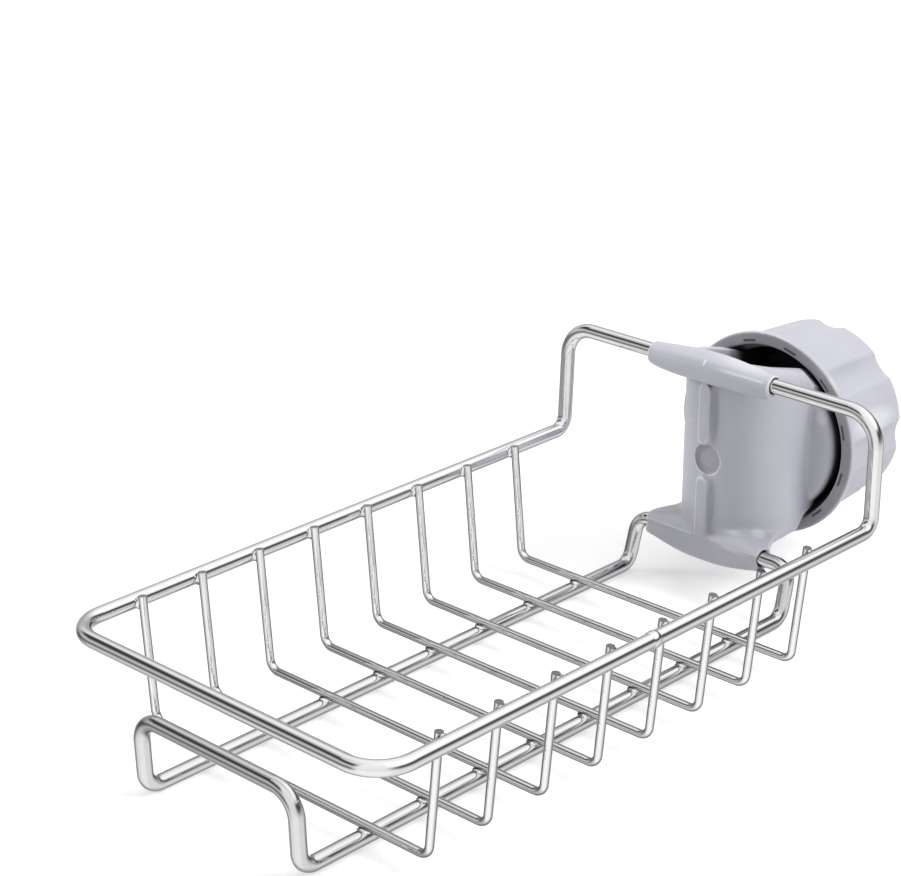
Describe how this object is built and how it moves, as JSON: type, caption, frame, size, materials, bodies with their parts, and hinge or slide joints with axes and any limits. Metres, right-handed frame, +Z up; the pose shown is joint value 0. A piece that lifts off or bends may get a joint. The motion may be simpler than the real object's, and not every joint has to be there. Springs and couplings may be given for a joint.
{
  "type": "sponge holder",
  "caption": "Polished wire sponge basket with a grey plastic pipe clamp, screwed tight by a fluted knob that drives a rubber pad.",
  "frame": {"origin": "centre of the footprint of the whole holder, on the plane the two lower rails rest on", "axes": "+X from the clamp to the basket's free end, +Y across the basket, +Z up along the pipe"},
  "size_m": [0.2364, 0.108, 0.0703],
  "materials": {
    "steel_wire": "polished bright wire",
    "grey_plastic": "satin moulded",
    "black_rubber": "matt moulded"
  },
  "bodies": {
    "basket": {"rim_wire": "steel_wire", "lower_frame_wire": "steel_wire", "cross_wire_1": "steel_wire", "cross_wire_2": "steel_wire", "cross_wire_3": "steel_wire", "cross_wire_4": "steel_wire", "cross_wire_5": "steel_wire", "cross_wire_6": "steel_wire", "cross_wire_7": "steel_wire", "cross_wire_8": "steel_wire"},
    "clamp": {"clamp_bracket": "grey_plastic"},
    "pad": {"pressure_pad": "black_rubber"},
    "knob": {"clamp_knob": "grey_plastic"}
  },
  "joints": [
    {"name": "clamp_side_play", "type": "slide", "parent": "basket", "child": "clamp", "axis": [0, 1, 0], "range_m": [0, 0.0044]},
    {"name": "pad_travel", "type": "slide", "parent": "clamp", "child": "pad", "axis": [1, 0, 0], "range_m": [-0.006, 0.0015]},
    {"name": "knob_turn", "type": "hinge", "parent": "pad", "child": "knob", "pos_m": [-0.10257, -0.0022, 0.0397], "axis": [1, 0, 0], "range_deg": [-540.5, 135.5]}
  ],
  "couplings": [
    {"joint": "knob_turn", "follows": "pad_travel", "rad_per_m": 1570.8}
  ]
}
